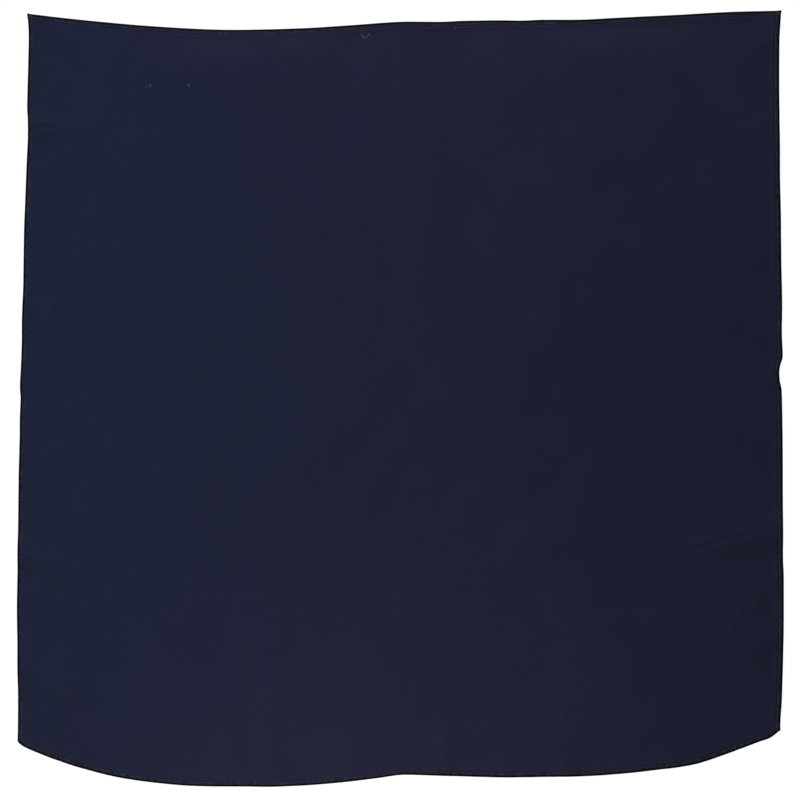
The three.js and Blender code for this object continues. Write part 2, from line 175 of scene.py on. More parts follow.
# The folds, each a soft ridge from (x0, y0) to (x1, y1). bow moves the ridge's middle sideways,
# to the left of the way it runs. start, middle and end are its heights; left and right are how
# far it reaches to either side before the cloth lies flat again.
FOLD_WANDER = 0.007  # how far a fold strays from its line
WANDER_SHORT = 0.060  # pitches of the noise that it strays by
WANDER_LONG = 0.085
WANDER_SEED_X = 51
WANDER_SEED_Y = 53
RIDGE_SHARPNESS = 3  # the more, the less one ridge adds to another that it meets
Fold = namedtuple("Fold", "x0 y0 x1 y1 bow start middle end left right")
FOLDS = [
    # From the middle of the top edge down, and the diagonals that carry it on to both sides below
    Fold(0.001, 0.292, 0.022, 0.050, -0.006, 0.0028, 0.0030, 0, 0.040, 0.060),
    Fold(0.004, 0.046, -0.112, -0.086, 0.003, 0, 0.0032, 0, 0.034, 0.048),
    Fold(0.030, 0.012, -0.078, -0.122, 0, 0, 0.0025, 0, 0.030, 0.026),
    Fold(0.177, 0.128, 0.074, -0.001, 0, 0, 0.0018, 0, 0.032, 0.045),
    Fold(0.177, -0.031, 0.052, -0.149, 0, 0, 0.0030, 0, 0.060, 0.026),
    Fold(0.074, -0.119, 0.229, -0.242, 0, 0, 0.0036, 0.0012, 0.030, 0.060),
    Fold(-0.137, -0.016, -0.174, -0.119, 0, 0, 0.0015, 0, 0.030, 0.050),
    # The swags under the top edge
    Fold(-0.256, 0.262, -0.010, 0.260, -0.014, 0, 0.0046, 0, 0.026, 0.060),
    Fold(-0.270, 0.205, -0.040, 0.238, -0.025, 0, 0.0010, 0, 0.040, 0.030),
    Fold(0.012, 0.256, 0.262, 0.262, -0.005, 0, 0.0042, 0, 0.026, 0.055),
    Fold(0.059, 0.225, 0.266, 0.274, 0, 0, 0.0012, 0, 0.024, 0.030),
    Fold(0.100, 0.150, 0.262, 0.222, 0.022, 0, 0.0015, 0, 0.036, 0.040),
    # The pulls at the two top corners
    Fold(-0.284, 0.292, -0.216, 0.236, -0.003, 0.0025, 0.0016, 0, 0.018, 0.015),
    Fold(0.290, 0.294, 0.226, 0.234, 0.004, 0.0018, 0.0012, 0, 0.015, 0.018),
    # The left side's puckers, from the top down
    Fold(-0.290, 0.200, -0.226, 0.197, 0.002, 0.0034, 0.0022, 0, 0.015, 0.014),
    Fold(-0.290, 0.134, -0.236, 0.120, 0, 0.0020, 0.0012, 0, 0.016, 0.018),
    Fold(-0.292, 0.084, -0.226, 0.016, 0.004, 0.0030, 0.0024, 0, 0.014, 0.015),
    Fold(-0.292, -0.034, -0.240, -0.044, -0.002, 0.0024, 0.0014, 0, 0.016, 0.015),
    Fold(-0.281, -0.075, -0.119, -0.090, -0.010, 0, 0.0014, 0, 0.040, 0.026),
    Fold(-0.292, -0.110, -0.214, -0.140, 0.003, 0.0036, 0.0027, 0, 0.015, 0.016),
    Fold(-0.292, -0.194, -0.210, -0.228, -0.003, 0.0034, 0.0024, 0, 0.016, 0.015),
    # The right side's puckers, from the top down
    Fold(0.292, 0.214, 0.246, 0.190, 0.002, 0.0018, 0.0011, 0, 0.015, 0.016),
    Fold(0.292, 0.110, 0.250, 0.116, 0, 0.0020, 0.0012, 0, 0.018, 0.016),
    Fold(0.292, 0.018, 0.236, 0.012, -0.002, 0.0019, 0.0013, 0, 0.014, 0.014),
    Fold(0.292, -0.092, 0.198, -0.122, 0.004, 0.0022, 0.0017, 0, 0.015, 0.016),
    Fold(0.292, -0.158, 0.236, -0.196, 0.003, 0.0020, 0.0014, 0, 0.015, 0.015),
    # The bottom edge's two long rises, then its flutes from left to right
    Fold(-0.262, -0.236, -0.020, -0.254, 0, 0, 0.0042, 0, 0.070, 0.034),
    Fold(0.030, -0.250, 0.244, -0.234, 0, 0, 0.0040, 0, 0.060, 0.032),
    Fold(-0.212, -0.296, -0.200, -0.226, 0.002, 0.0018, 0.0014, 0, 0.018, 0.017),
    Fold(-0.158, -0.300, -0.164, -0.246, 0, 0.0014, 0.0010, 0, 0.016, 0.017),
    Fold(-0.100, -0.302, -0.102, -0.130, -0.002, 0.0022, 0.0030, 0, 0.015, 0.022),
    Fold(-0.034, -0.298, -0.042, -0.232, 0, 0.0018, 0.0012, 0, 0.017, 0.018),
    Fold(0.024, -0.294, 0.032, -0.218, -0.002, 0.0018, 0.0014, 0, 0.018, 0.016),
    Fold(0.076, -0.294, 0.070, -0.250, 0, 0.0012, 0.0008, 0, 0.016, 0.017),
    Fold(0.132, -0.296, 0.104, -0.196, 0.003, 0.0018, 0.0016, 0, 0.015, 0.015),
    Fold(0.182, -0.292, 0.170, -0.236, 0, 0.0016, 0.0010, 0, 0.017, 0.015),
    # The two lower corners, which curl up
    Fold(-0.296, -0.268, -0.232, -0.208, 0, 0.0045, 0.0020, 0, 0.030, 0.032),
    Fold(0.298, -0.262, 0.236, -0.206, 0, 0.0048, 0.0022, 0, 0.032, 0.030),
]

# The sharp creases: a narrow trough with a soft bank along each side.
CREASE_WANDER = 0.0014  # how far a crease strays from its line
CREASE_WANDER_PITCH = 0.009
CREASE_WANDER_SEED = 41
CREASE_FADE = 4  # it fades out over one part in this many at each end
CREASE_SHARE = 0.7  # of its full height, on the whole
CREASE_SHARE_SPREAD = 0.5  # how far that share strays, to either side
CREASE_SHARE_PITCH = 0.006
CREASE_SHARE_SEED = 43
Crease = namedtuple("Crease", "x0 y0 x1 y1 bow bank width")
CREASES = [
    Crease(-0.278, 0.200, -0.252, 0.198, 0.001, 0.0019, 0.0032),
    Crease(-0.270, 0.077, -0.240, 0.018, 0.002, 0.0016, 0.0030),
    Crease(-0.282, -0.119, -0.240, -0.129, 0.001, 0.0016, 0.0036),
    Crease(-0.276, -0.201, -0.238, -0.218, -0.001, 0.0012, 0.0038),
    Crease(0.203, -0.117, 0.264, -0.100, 0.002, 0.0010, 0.0036),
    Crease(0.244, -0.184, 0.264, -0.128, -0.002, 0.0007, 0.0044),
    Crease(0.248, 0.241, 0.282, 0.267, 0.001, 0.0006, 0.0042),
    Crease(0.256, 0.226, 0.262, 0.208, 0, 0.0005, 0.0034),
    Crease(-0.070, 0.177, -0.011, 0.176, 0.001, 0.0004, 0.0034),
    Crease(-0.120, -0.286, -0.119, -0.140, 0.001, 0.0010, 0.0030),
    Crease(0.114, -0.218, 0.130, -0.286, -0.002, 0.0010, 0.0034),
    Crease(-0.231, -0.148, -0.232, -0.226, 0.001, 0.0005, 0.0036),
]


# The cloth's form

def smoothstep(t):
    """From 0 to 1 as t does, and level at both ends."""
    t = np.clip(t, 0, 1)
    return t * t * (3 - 2 * t)


def rim(side, at):
    """The rim's distance outside the cut square at places along a side, and its slope there."""
    along = np.array([row.along for row in side])
    out = np.array([row.out for row in side])
    before, after = np.r_[0, 0 : len(side) - 1], np.r_[1 : len(side), len(side) - 1]
    slopes = (out[after] - out[before]) / (along[after] - along[before])
    at = np.clip(at, along[0], along[-1])
    i = np.clip(np.searchsorted(along, at, side="right") - 1, 0, len(side) - 2)
    length, rise = along[i + 1] - along[i], out[i + 1] - out[i]
    t = (at - along[i]) / length
    a, b = slopes[i] * length, slopes[i + 1] * length
    curve, twist = 3 * rise - 2 * a - b, a + b - 2 * rise
    outside = out[i] + t * (a + t * (curve + t * twist))
    slope = (a + t * (2 * curve + 3 * t * twist)) / length
    return outside, slope


def reach(side, at, inset):
    """How far from the middle a side lies at places along it, once it is set in from the rim."""
    out, slope = rim(side, at)
    return HALF + out - inset * np.hypot(1, slope)


def top_y(x, inset=0.0):
    return reach(TOP, x, inset)


def bottom_y(x, inset=0.0):
    return -reach(BOTTOM, x, inset)


def left_x(y, inset=0.0):
    return -reach(LEFT, y, inset)


def right_x(y, inset=0.0):
    return reach(RIGHT, y, inset)


def corner(side_x, end_y, inset=0.0):
    """Where a side line x = side_x(y) crosses an end line y = end_y(x)."""
    x, y = side_x(0.0, inset), end_y(0.0, inset)
    for _ in range(CORNER_ROUNDS):
        x = side_x(y, inset)
        y = end_y(x, inset)
    return float(x), float(y)


def plan(u, v, inset):
    """The cloth's plan: a grid stretched between its four sides."""
    (tlx, tly), (trx, try_) = corner(left_x, top_y, inset), corner(right_x, top_y, inset)
    (blx, bly), (brx, bry) = corner(left_x, bottom_y, inset), corner(right_x, bottom_y, inset)
    low_x, high_x = blx + (brx - blx) * u, tlx + (trx - tlx) * u
    near_y, far_y = bly + (tly - bly) * v, bry + (try_ - bry) * v
    low_y, high_y = bottom_y(low_x, inset), top_y(high_x, inset)
    near_x, far_x = left_x(near_y, inset), right_x(far_y, inset)

    def blend(low, high, near, far, bl, br, tl, tr):
        corners = (bl + (br - bl) * u) * (1 - v) + (tl + (tr - tl) * u) * v
        return low + (high - low) * v + near + (far - near) * u - corners

    x = blend(low_x, high_x, near_x, far_x, blx, brx, tlx, trx)
    y = blend(low_y, high_y, near_y, far_y, bly, bry, tly, try_)
    return x, y


def beside(row, x, y):
    """Where points lie by a bowed line: the share of its length, and how far off to its left,
    and how far past its ends."""
    dx, dy = row.x1 - row.x0, row.y1 - row.y0
    length = math.hypot(dx, dy)
    along = ((x - row.x0) * dx + (y - row.y0) * dy) / length**2
    t = np.clip(along, 0, 1)
    left = ((y - row.y0) * dx - (x - row.x0) * dy) / length - row.bow * 4 * t * (1 - t)
    return t, left, (along - t) * length


def fold_lift(fold, x, y):
    """How much one fold lifts the cloth."""
    t, left, past = beside(fold, x, y)
    width = np.where(left > 0, fold.left, fold.right)
    away = np.minimum(np.hypot(left, past) / width, 1)
    first = fold.start + (fold.middle - fold.start) * smoothstep(2 * t)
    second = fold.middle + (fold.end - fold.middle) * smoothstep(2 * t - 1)
    return np.where(t < 0.5, first, second) * (1 - away**2) ** 2


def lift(x, y):
    """How high the folds lift the cloth. Ridges that meet join at the higher one, softly."""
    x = x + FOLD_WANDER * noise(x, y, WANDER_SHORT, WANDER_LONG, WANDER_SEED_X)
    y = y + FOLD_WANDER * noise(x, y, WANDER_LONG, WANDER_SHORT, WANDER_SEED_Y)
    total = sum(fold_lift(fold, x, y) ** RIDGE_SHARPNESS for fold in FOLDS)
    return total ** (1 / RIDGE_SHARPNESS)


def noise(x, y, pitch_x, pitch_y, seed):
    """Soft noise from -1 to 1 over the plan, its features about one pitch apart."""
    knots = np.random.RandomState(seed).uniform(-1, 1, (LATTICE, LATTICE))
    gx, gy = x / pitch_x + LATTICE / 2, y / pitch_y + LATTICE / 2
    i, j = np.floor(gx).astype(int), np.floor(gy).astype(int)
    s, t = smoothstep(gx - i), smoothstep(gy - j)
    i, j, i1, j1 = i % LATTICE, j % LATTICE, (i + 1) % LATTICE, (j + 1) % LATTICE
    near = knots[i, j] * (1 - s) + knots[i1, j] * s
    far = knots[i, j1] * (1 - s) + knots[i1, j1] * s
    return near * (1 - t) + far * t


def noise_along(along, pitch, seed):
    """Soft noise from -1 to 1 that varies along one line only."""
    return noise(along, np.zeros_like(along), pitch, NO_PITCH, seed)


def as_share(noise_value):
    """Noise from -1 to 1 as a share from 0 to 1."""
    return (1 + noise_value) / 2


def crease_lift(crease, x, y):
    """The two banks of one crease, which fade out towards its ends."""
    t, left, past = beside(crease, x, y)
    stray = noise(x, y, CREASE_WANDER_PITCH, CREASE_WANDER_PITCH, CREASE_WANDER_SEED)
    left = left + CREASE_WANDER * stray
    away = np.hypot(left, past) / crease.width
    fade = smoothstep(CREASE_FADE * t) * smoothstep(CREASE_FADE * (1 - t))
    uneven = noise(x, y, CREASE_SHARE_PITCH, CREASE_SHARE_PITCH, CREASE_SHARE_SEED)
    share = CREASE_SHARE + CREASE_SHARE_SPREAD * uneven
    return crease.bank * fade * share * away**2 * np.exp(1 - away**2)


def side_distances(x, y):
    """How far in from each side's rim, with the place along that side."""
    return [
        (top_y(x) - y, x),
        (y - bottom_y(x), x),
        (x - left_x(y), y),
        (right_x(y) - x, y),
    ]


# The hem's puckers, small and large: how far apart they are, how far in from the rim they reach,
# and how high they are.
Pucker = namedtuple("Pucker", "pitch reach height seed")
PUCKERS = [
    Pucker(0.0065, 0.010, 0.00042, 11),
    Pucker(0.0150, 0.022, 0.00085, 23),
]
PUCKER_STRETCH = 0.2  # how fast they change going in, against how fast they do along the rim
STRENGTH_PITCH = 0.050  # how far apart the strongly and the weakly puckered stretches are
STRENGTH_SEED = 100  # what is added to a pucker's seed for its strength


def hem_lift(x, y):
    """The hem's puckers, which the stitching draws up, and the thickness of the thread under it."""
    total = np.zeros_like(x)
    for number, (inward, along) in enumerate(side_distances(x, y)):
        inward = np.maximum(inward, 0)
        bank = BANK_HEIGHT * np.exp(-(((inward - BANK_INSET) / BANK_WIDTH) ** 2))
        total = np.maximum(total, HEM_LIFT * (1 - smoothstep(inward / HEM_REACH)) + bank)
        for row in PUCKERS:
            seed = row.seed + number
            wave = as_share(noise(along, inward * PUCKER_STRETCH, row.pitch, row.pitch, seed))
            strength = as_share(noise_along(along, STRENGTH_PITCH, seed + STRENGTH_SEED))
            total = total + row.height * strength * wave * np.exp(-((inward / row.reach) ** 2))
    return total


# The cloth's ripples, from the broadest to the finest
Ripple = namedtuple("Ripple", "pitch_x pitch_y height seed")
RIPPLES = [
    Ripple(0.085, 0.110, 0.00090, 3),
    Ripple(0.038, 0.046, 0.00035, 5),
    Ripple(0.014, 0.017, 0.00006, 7),
]


def ripple_lift(x, y):
    """The slight unevenness of cloth that was folded, washed and laid down."""
    return sum(r.height * as_share(noise(x, y, r.pitch_x, r.pitch_y, r.seed)) for r in RIPPLES)


def height(x, y):
    """The height of the cloth's middle above the floor."""
    creases = sum(crease_lift(crease, x, y) for crease in CREASES)
    return lift(x, y) + creases + hem_lift(x, y) + ripple_lift(x, y) + CLEARANCE + CLOTH_THICK / 2


# Meshes

def make_object(name, points, faces, material):
    """A smooth-shaded mesh object in the scene."""
    mesh = bpy.data.meshes.new(name)
    mesh.from_pydata(points.tolist(), [], faces)
    mesh.polygons.foreach_set("use_smooth", [True] * len(mesh.polygons))
    mesh.materials.append(material)
    mesh.update()
    piece = bpy.data.objects.new(name, mesh)
    bpy.context.scene.collection.objects.link(piece)
    return piece


# How far in from a side the mesh's first lines lie, so that they follow the stitched hem. In
# millimetres.
HEM_LINES = [0.0, 0.6, 1.2, 1.8, 2.4, 3.0, 3.5, 4.0, 4.5, 5.0, 5.6, 6.5, 7.8]
MILLIMETRE = 0.001

# Where the rest of the mesh's lines crowd together, for the sharp creases: the share of the way
# across the cloth, how far the crowding reaches, and how many more lines there are there.
Crowd = namedtuple("Crowd", "at reach more")
COLUMN_CROWDS = [
    Crowd(0.00, 0.080, 1.2),
    Crowd(0.29, 0.020, 2.0),
    Crowd(0.72, 0.025, 0.8),
    Crowd(1.00, 0.080, 1.2),
]
ROW_CROWDS = [
    Crowd(0.00, 0.040, 1.0),
    Crowd(0.13, 0.030, 1.6),
    Crowd(0.29, 0.035, 2.0),
    Crowd(0.58, 0.060, 0.6),
    Crowd(0.86, 0.020, 2.0),
    Crowd(1.00, 0.060, 1.0),
]
CROWD_STEPS = 4000  # places at which the crowding is summed up


def grid_steps(crowds):
    """The places, from 0 to 1, of the cloth's mesh lines along one way."""
    hem = np.array(HEM_LINES) * MILLIMETRE / CUT
    at = np.linspace(hem[-1], 1 - hem[-1], CROWD_STEPS)
    lines = np.ones_like(at)
    for crowd in crowds:
        lines += crowd.more * np.exp(-(((at - crowd.at) / crowd.reach) ** 2))
    passed = np.cumsum(lines)
    wanted = np.linspace(passed[0], passed[-1], MIDDLE_CELLS + 1)[1:-1]
    return np.concatenate([hem, np.interp(wanted, passed, at), 1 - hem[::-1]])


def surface_normals(x, y, z):
    """Unit normals of the grid's surface."""
    du = np.stack([np.gradient(a, axis=0) for a in (x, y, z)], axis=-1)
    dv = np.stack([np.gradient(a, axis=1) for a in (x, y, z)], axis=-1)
    n = np.cross(du, dv)
    return n / np.linalg.norm(n, axis=-1, keepdims=True)


def quads(a, b, c, d):
    """Faces of four corners each, from four arrays of point numbers."""
    return np.stack([a, b, c, d], axis=-1).reshape(-1, 4).tolist()


def around(grid):
    """A grid's point numbers on its outer edge, going round it once."""
    return np.concatenate([grid[:-1, 0], grid[-1, :-1], grid[:0:-1, -1], grid[0, :0:-1]])


def make_cloth(material):
    """The cloth: one closed thin shell."""
    columns, lines = grid_steps(COLUMN_CROWDS), grid_steps(ROW_CROWDS)
    u, v = np.meshgrid(columns, lines, indexing="ij")
    x, y = plan(u, v, CLOTH_EDGE)
    z = height(x, y)
    middle = np.stack([x, y, z], axis=-1)
    half = surface_normals(x, y, z) * CLOTH_THICK / 2
    points = np.concatenate([(middle + half).reshape(-1, 3), (middle - half).reshape(-1, 3)])
    upper = np.arange(u.size).reshape(u.shape)
    lower = upper + u.size
    faces = quads(upper[:-1, :-1], upper[1:, :-1], upper[1:, 1:], upper[:-1, 1:])
    faces += quads(lower[:-1, :-1], lower[:-1, 1:], lower[1:, 1:], lower[1:, :-1])
    above, below = around(upper), around(lower)
    faces += quads(below, np.roll(below, -1), np.roll(above, -1), above)
    return make_object("bandana_cloth", points, faces, material)


# The overlocking

# One stitch of each thread: how far along the stitch, how far in from the rim and how far above
# the cloth's middle its centre lies. The upper and lower threads turn back at the purl.
ON_CLOTH = CLOTH_THICK / 2 + THREAD_RADIUS
Thread = namedtuple("Thread", "along inward above")
UPPER_THREAD = [
    Thread(0.00, NEEDLE_INSET, 1.0 * ON_CLOTH),
    Thread(0.12, 0.0026, 1.2 * ON_CLOTH),
    Thread(0.24, 0.0021, 1.3 * ON_CLOTH),
    Thread(0.36, 0.0018, 1.0 * ON_CLOTH),
    Thread(0.48, 0.0015, 0.4 * ON_CLOTH),
    Thread(0.60, 0.0018, 1.0 * ON_CLOTH),
    Thread(0.74, 0.0021, 1.4 * ON_CLOTH),
    Thread(0.88, 0.0026, 1.2 * ON_CLOTH),
]
LOWER_THREAD = [
    Thread(0.00, NEEDLE_INSET, -0.9 * ON_CLOTH),
    Thread(0.25, 0.0018, -ON_CLOTH),
    Thread(0.50, 0.0010, -ON_CLOTH),
    Thread(0.75, 0.0018, -ON_CLOTH),
]
NEEDLE_THREAD = [
    Thread(0.00, NEEDLE_INSET, -0.6 * ON_CLOTH),
    Thread(0.20, NEEDLE_INSET, 0.8 * ON_CLOTH),
    Thread(0.50, NEEDLE_INSET, 1.2 * ON_CLOTH),
    Thread(0.80, NEEDLE_INSET, 0.8 * ON_CLOTH),
]
THREAD_SIDES = 6
PURL_TURN = 8  # points of a purl's strand in each turn
RIM_STEPS = 1200  # points of a side's rim that its stitches are measured along

# How uneven the stitches are: how far each thread strays in and out, and how much its height
# varies from one stitch to another.
UPPER_WOBBLE = 0.00022
LOWER_WOBBLE = 0.00020
NEEDLE_WOBBLE = 0.00010
WOBBLE_PITCH = 0.0021
WOBBLE_SEED = 31
UNEVEN_SHARE = 0.12
UNEVEN_STITCHES = 2.7
UNEVEN_SEED = 37

# The loop of loose thread where the overlocking stops
TAIL_POINTS = 22
TAIL_INSET = 0.0016  # from the rim in to its two ends
TAIL_BULGE = 0.0016  # how far its middle swings out to the right
TAIL_HOLD = 0.0009  # four times what the middle is held back by
TAIL_BELOW = 0.0007  # from the side's lowest point down to the loop's lower end
TAIL_WIDE = 0.0004  # from that end up to the other
TAIL_ABOVE = 1.5 * ON_CLOTH


def rim_line(side_name):
    """A side's rim as plan points, its inward normals, and the length along it."""
    if side_name in ("top", "bottom"):
        end_y = top_y if side_name == "top" else bottom_y
        x = np.linspace(corner(left_x, end_y)[0], corner(right_x, end_y)[0], RIM_STEPS + 1)
        y = end_y(x)
    else:
        side_x = left_x if side_name == "left" else right_x
        y = np.linspace(corner(side_x, bottom_y)[1], corner(side_x, top_y)[1], RIM_STEPS + 1)
        x = side_x(y)
    tangent = np.stack([np.gradient(x), np.gradient(y)], axis=-1)
    tangent /= np.linalg.norm(tangent, axis=-1, keepdims=True)
    turn = 1 if side_name in ("bottom", "right") else -1
    normal = np.stack([-tangent[:, 1], tangent[:, 0]], axis=-1) * turn
    length = np.r_[0, np.cumsum(np.hypot(np.diff(x), np.diff(y)))]
    return np.stack([x, y], axis=-1), normal, length


def set_in(line, at, inset):
    """Plan points set in from a side's rim, at lengths along it."""
    points, normal, length = line
    x = np.interp(at, length, points[:, 0]) + inset * np.interp(at, length, normal[:, 0])
    y = np.interp(at, length, points[:, 1]) + inset * np.interp(at, length, normal[:, 1])
    return x, y


def thread_path(line, stitch, count, wobble):
    """The path of one thread along a side, stitch after stitch."""
    along = np.array([row.along for row in stitch])
    inward = np.array([row.inward for row in stitch])
    above = np.array([row.above for row in stitch])
    pitch = line[2][-1] / count
    at = ((np.arange(count)[:, None] + along[None, :]) * pitch).ravel()
    inset = np.tile(inward, count) + wobble * noise_along(at, WOBBLE_PITCH, WOBBLE_SEED)
    x, y = set_in(line, at, inset)
    number = np.repeat(np.arange(float(count)), len(stitch))
    uneven = 1 + UNEVEN_SHARE * noise_along(number, UNEVEN_STITCHES, UNEVEN_SEED)
    z = height(x, y) + np.tile(above, count) * uneven
    return np.stack([x, y, z], axis=-1)


def purl_path(line, count, phase):
    """The path of one of the two strands that twist round each other along the rim."""
    turns = np.linspace(0, count, count * PURL_TURN + 1)
    angle = 2 * np.pi * turns + phase
    inset = PURL_RADIUS + PURL_TWIST + PURL_TWIST * np.cos(angle) - PURL_OUT
    x, y = set_in(line, turns / count * line[2][-1], inset)
    return np.stack([x, y, height(x, y) + PURL_FLAT * PURL_TWIST * np.sin(angle)], axis=-1)


def tube(path, radius):
    """A closed tube along a path: its points and faces."""
    sides = THREAD_SIDES
    tangents = np.gradient(path, axis=0)
    tangents /= np.linalg.norm(tangents, axis=1, keepdims=True)
    across = np.zeros_like(path)
    side = np.cross(tangents[0], (0.0, 0.0, 1.0))
    for k, tangent in enumerate(tangents):
        side = side - tangent * np.dot(side, tangent)
        side /= np.linalg.norm(side)
        across[k] = side
    other = np.cross(tangents, across)
    angle = np.arange(sides) * 2 * np.pi / sides
    ring = across[:, None, :] * np.cos(angle)[None, :, None]
    ring = ring + other[:, None, :] * np.sin(angle)[None, :, None]
    points = (path[:, None, :] + radius * ring).reshape(-1, 3)
    start = np.arange(len(path) - 1)[:, None] * sides
    here, there = np.arange(sides)[None, :], (np.arange(sides) + 1)[None, :] % sides
    faces = np.stack([start + here, start + there, start + sides + there, start + sides + here], -1)
    faces = faces.reshape(-1, 4).tolist()
    last = (len(path) - 1) * sides
    faces.append(list(range(sides))[::-1])
    faces.append([last + i for i in range(sides)])
    return points, faces


def joined(parts):
    """Several meshes' points and faces as one."""
    points, faces, first = [], [], 0
    for some, their_faces in parts:
        points.append(some)
        faces += [[i + first for i in face] for face in their_faces]
        first += len(some)
    return np.concatenate(points), faces


def thread_tail(line):
    """The small loop of loose thread where the overlocking stops, at the lower right corner."""
    points, normal, _ = line
    start_x, start_y = points[0] + normal[0] * TAIL_INSET
    t = np.linspace(0, 1, TAIL_POINTS)
    x = start_x + TAIL_BULGE * np.sin(np.pi * t) - TAIL_HOLD * t * (1 - t)
    y = start_y - TAIL_BELOW + TAIL_WIDE * t
    return tube(np.column_stack([x, y, height(x, y) + TAIL_ABOVE]), THREAD_RADIUS)


def make_edging(side_name, thread, purl):
    """The overlocking along one side: an upper, a lower and a needle thread, and the purl, which is
    painted near black as shade along the rim.
    """
    line = rim_line(side_name)
    count = round(line[2][-1] / STITCH_PITCH)
    parts = [
        tube(thread_path(line, UPPER_THREAD, count, UPPER_WOBBLE), THREAD_RADIUS),
        tube(thread_path(line, LOWER_THREAD, count, LOWER_WOBBLE), THREAD_RADIUS),
        tube(thread_path(line, NEEDLE_THREAD, count, NEEDLE_WOBBLE), NEEDLE_RADIUS),
    ]
    if side_name == "right":
        parts.append(thread_tail(line))
    lit_thread_faces = sum(len(faces) for _, faces in parts)
    parts += [tube(purl_path(line, count, phase), PURL_RADIUS) for phase in (0.0, np.pi)]
    points, faces = joined(parts)
    edging = make_object(f"overlock_{side_name}", points, faces, thread)
    # The purl's faces take the near-black material, which is painted shade.
    edging.data.materials.append(purl)
    slots = np.zeros(len(faces), dtype=int)
    slots[lit_thread_faces:] = 1
    edging.data.polygons.foreach_set("material_index", slots)
    return edging


# Materials

def node(tree, kind, **settings):
    """A new node of a material's tree, with its settings."""
    made = tree.nodes.new(kind)
    for name, value in settings.items():
        setattr(made, name, value)
    return made


def maths(tree, operation, *values):
    """A Math node. A value is a number or another node's output."""
    made = node(tree, "ShaderNodeMath", operation=operation)
    for slot, value in enumerate(values):
        if isinstance(value, (int, float)):
            made.inputs[slot].default_value = value
        else:
            tree.links.new(value, made.inputs[slot])
    return made.outputs[0]


# Noise that is drawn out along one way, as a yarn's thick and thin places are: its features to
# the metre along each axis, and a shift that makes it unlike the others.
Streak = namedtuple("Streak", "x y z shift")
WARP_SLUBS = Streak(1900, 60, 60, 3.1)
WEFT_SLUBS = Streak(60, 1900, 60, 7.7)
MOTTLE = Streak(34, 26, 30, 1.3)
FIBRES = Streak(5200, 5200, 2600, 2.3)
PATCHES = Streak(480, 480, 200, 5.9)
STREAK_DETAIL = 3.0
STREAK_ROUGHNESS = 0.6


def streaks(tree, source, streak):
    """One row of that noise, from 0 to 1."""
    mapping = node(tree, "ShaderNodeMapping")
    mapping.inputs["Scale"].default_value = (streak.x, streak.y, streak.z)
    mapping.inputs["Location"].default_value = (streak.shift, streak.shift, 0)
    tree.links.new(source, mapping.inputs["Vector"])
    made = node(tree, "ShaderNodeTexNoise", noise_dimensions="3D")
    made.inputs["Scale"].default_value = 1.0
    made.inputs["Detail"].default_value = STREAK_DETAIL
    made.inputs["Roughness"].default_value = STREAK_ROUGHNESS
    tree.links.new(mapping.outputs["Vector"], made.inputs["Vector"])
    return made.outputs["Fac"]


def ramp(tree, fac, low, high):
    """A colour between low, where fac is 0, and high, where it is 1."""
    made = node(tree, "ShaderNodeMix", data_type="RGBA")
    made.inputs["A"].default_value = (*low, 1)
    made.inputs["B"].default_value = (*high, 1)
    tree.links.new(fac, made.inputs["Factor"])
    return made.outputs["Result"]


def times(tree, value, factor):
    """A node's output times a number."""
    return maths(tree, "MULTIPLY", value, factor)


YARN_PITCH = 0.00042  # from one yarn to the next

# Colours, each at its darkest and at its lightest
NAVY_DEEP = (0.0079, 0.0082, 0.0218)
NAVY_WORN = (0.0158, 0.0150, 0.0372)
# The thread's colours are partly its own navy and partly painted highlight: lifted well above the
# cloth's for the light that the stitches catch.
THREAD_LIT_DEEP = (0.0070, 0.0062, 0.0110)
THREAD_LIT_LIGHT = (0.0470, 0.0405, 0.0640)
# The purl's colours are painted shade: the same navy thread, painted near black for the shade along
# the rim.
PURL_PAINTED_SHADE_DEEP = (0.0006, 0.0007, 0.0016)
PURL_PAINTED_SHADE_LIGHT = (0.0018, 0.0020, 0.0044)


# How each fabric takes the light: its sheen, its mirror-like shine, its roughness, how much its
# noise adds to that, and how strong and deep its fine relief is.
Finish = namedtuple("Finish", "sheen shine rough more_rough relief depth")
COTTON_FINISH = Finish(0.05, 0.05, 0.80, 0.16, 0.5, 0.00008)
THREAD_FINISH = Finish(0.06, 0.10, 0.58, 0.25, 0.4, 0.00006)
PURL_FINISH = Finish(0.0, 0.02, 0.58, 0.25, 0.4, 0.00006)
SHEEN_ROUGHNESS = 0.5
SHEEN_TINT = (0.62, 0.70, 0.95)


def new_material(name):
    """A material, and its Principled shader."""
    material = bpy.data.materials.new(name)
    material.use_nodes = True
    return material, material.node_tree.nodes["Principled BSDF"]


def finish_fabric(tree, shader, finish, colour, noise_output, relief):
    """Gives a fabric its colour, roughness and relief. What is the same all over is set on the
    shader's own sockets."""
    shader.inputs["Specular IOR Level"].default_value = finish.shine
    shader.inputs["Sheen Weight"].default_value = finish.sheen
    shader.inputs["Sheen Roughness"].default_value = SHEEN_ROUGHNESS
    shader.inputs["Sheen Tint"].default_value = (*SHEEN_TINT, 1)
    tree.links.new(colour, shader.inputs["Base Color"])
    rough = maths(tree, "ADD", finish.rough, times(tree, noise_output, finish.more_rough))
    tree.links.new(rough, shader.inputs["Roughness"])
    bump = node(tree, "ShaderNodeBump")
    bump.inputs["Strength"].default_value = finish.relief
    bump.inputs["Distance"].default_value = finish.depth
    tree.links.new(relief, bump.inputs["Height"])
    tree.links.new(bump.outputs["Normal"], shader.inputs["Normal"])


